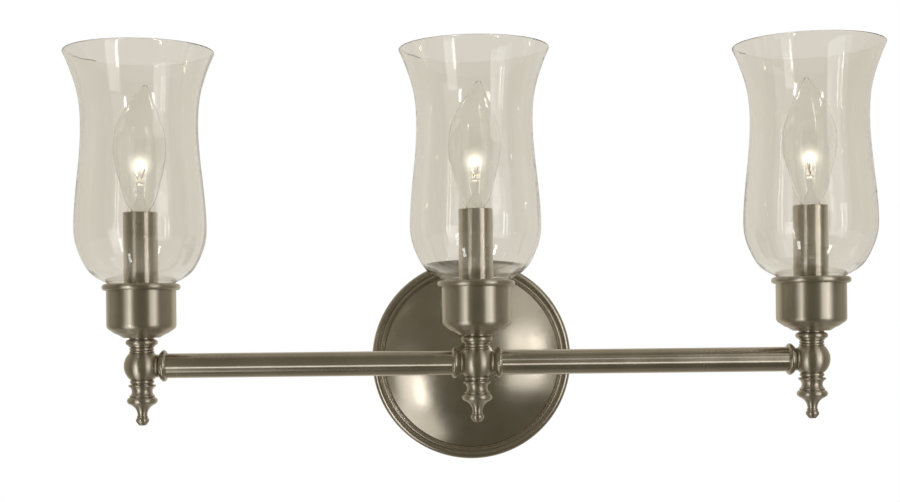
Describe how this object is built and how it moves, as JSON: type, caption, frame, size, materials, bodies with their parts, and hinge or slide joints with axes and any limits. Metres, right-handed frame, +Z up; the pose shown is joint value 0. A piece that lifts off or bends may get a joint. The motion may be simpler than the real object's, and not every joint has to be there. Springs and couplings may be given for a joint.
{
  "type": "vanity light bar",
  "caption": "Wall-mounted vanity light: round canopy, short stem and horizontal bar with turned hubs, candle covers, flame bulbs and clear hurricane glass shades.",
  "frame": {"origin": "on the wall plane, at the centre of the canopy and of the wall bracket's two slots", "axes": "+X along the bar to the right as seen from the room, +Y into the wall, +Z up"},
  "size_m": [0.5286, 0.1424, 0.2727],
  "materials": {
    "satin_nickel": "warm satin nickel plate",
    "clear_glass": "clear blown glass, fire-polished",
    "bulb_glass": "thin clear lamp glass",
    "brass": "stamped brass",
    "zinc_steel": "zinc plated",
    "black_phenolic": "moulded phenolic",
    "insulator": "black glass insulator and solder",
    "lead_wire": "nickel plated wire",
    "filament": "lit tungsten coil",
    "black_wire": "wire insulation",
    "white_wire": "wire insulation",
    "copper": "bare copper",
    "green_screw": "green plated",
    "wire_nut_plastic": "orange moulded"
  },
  "bodies": {
    "shade_left": {"shade_left": "clear_glass"},
    "bulb_seat_left": {"bulb_tip_left": "insulator"},
    "bulb_left": {"bulb_base_left": "brass", "bulb_glass_left": "bulb_glass", "bulb_stem_left": "bulb_glass", "bulb_leads_left": "lead_wire", "bulb_filament_left": "filament"},
    "shade_centre": {"shade_centre": "clear_glass"},
    "bulb_seat_centre": {"bulb_tip_centre": "insulator"},
    "bulb_centre": {"bulb_base_centre": "brass", "bulb_glass_centre": "bulb_glass", "bulb_stem_centre": "bulb_glass", "bulb_leads_centre": "lead_wire", "bulb_filament_centre": "filament"},
    "shade_right": {"shade_right": "clear_glass"},
    "bulb_seat_right": {"bulb_tip_right": "insulator"},
    "bulb_right": {"bulb_base_right": "brass", "bulb_glass_right": "bulb_glass", "bulb_stem_right": "bulb_glass", "bulb_leads_right": "lead_wire", "bulb_filament_right": "filament"},
    "fixture": {"bar_pipes": "zinc_steel", "bar_tube_left": "satin_nickel", "bar_tube_right": "satin_nickel", "bracket_studs": "zinc_steel", "candle_cover_centre": "satin_nickel", "candle_cover_left": "satin_nickel", "candle_cover_right": "satin_nickel", "canopy": "satin_nickel", "cap_nuts": "satin_nickel", "column_pipes": "zinc_steel", "cup_locknuts": "brass", "cup_washers": "satin_nickel", "finial_centre": "satin_nickel", "finial_left": "satin_nickel", "finial_right": "satin_nickel", "ground_screw": "green_screw", "ground_wire": "copper", "hot_wires": "black_wire", "hub_centre": "satin_nickel", "hub_left": "satin_nickel", "hub_right": "satin_nickel", "neutral_wires": "white_wire", "shade_cup_centre": "satin_nickel", "shade_cup_left": "satin_nickel", "shade_cup_right": "satin_nickel", "socket_body_centre": "black_phenolic", "socket_body_left": "black_phenolic", "socket_body_right": "black_phenolic", "socket_brackets": "zinc_steel", "socket_contacts": "brass", "socket_shell_centre": "brass", "socket_shell_left": "brass", "socket_shell_right": "brass", "stem_locknut": "brass", "stem_pipe": "zinc_steel", "stem_tube": "satin_nickel", "tube_collars": "satin_nickel", "wall_bracket": "zinc_steel", "wire_nuts": "wire_nut_plastic"}
  },
  "joints": [
    {"name": "shade_left_lift", "type": "slide", "parent": "fixture", "child": "shade_left", "axis": [0, 0, 1], "range_m": [0, 0.16]},
    {"name": "bulb_left_rise", "type": "slide", "parent": "fixture", "child": "bulb_seat_left", "axis": [0, 0, 1], "range_m": [0, 0.01016]},
    {"name": "bulb_left_unscrew", "type": "hinge", "parent": "bulb_seat_left", "child": "bulb_left", "pos_m": [-0.2159, -0.094, 0.09], "axis": [0, 0, 1], "range_deg": [0, 1440]},
    {"name": "shade_centre_lift", "type": "slide", "parent": "fixture", "child": "shade_centre", "axis": [0, 0, 1], "range_m": [0, 0.16]},
    {"name": "bulb_centre_rise", "type": "slide", "parent": "fixture", "child": "bulb_seat_centre", "axis": [0, 0, 1], "range_m": [0, 0.01016]},
    {"name": "bulb_centre_unscrew", "type": "hinge", "parent": "bulb_seat_centre", "child": "bulb_centre", "pos_m": [0, -0.094, 0.09], "axis": [0, 0, 1], "range_deg": [0, 1440]},
    {"name": "shade_right_lift", "type": "slide", "parent": "fixture", "child": "shade_right", "axis": [0, 0, 1], "range_m": [0, 0.16]},
    {"name": "bulb_right_rise", "type": "slide", "parent": "fixture", "child": "bulb_seat_right", "axis": [0, 0, 1], "range_m": [0, 0.01016]},
    {"name": "bulb_right_unscrew", "type": "hinge", "parent": "bulb_seat_right", "child": "bulb_right", "pos_m": [0.2159, -0.094, 0.09], "axis": [0, 0, 1], "range_deg": [0, 1440]}
  ],
  "couplings": [
    {"joint": "bulb_left_rise", "follows": "bulb_left_unscrew", "m_per_rad": 0.00040425},
    {"joint": "bulb_centre_rise", "follows": "bulb_centre_unscrew", "m_per_rad": 0.00040425},
    {"joint": "bulb_right_rise", "follows": "bulb_right_unscrew", "m_per_rad": 0.00040425}
  ]
}
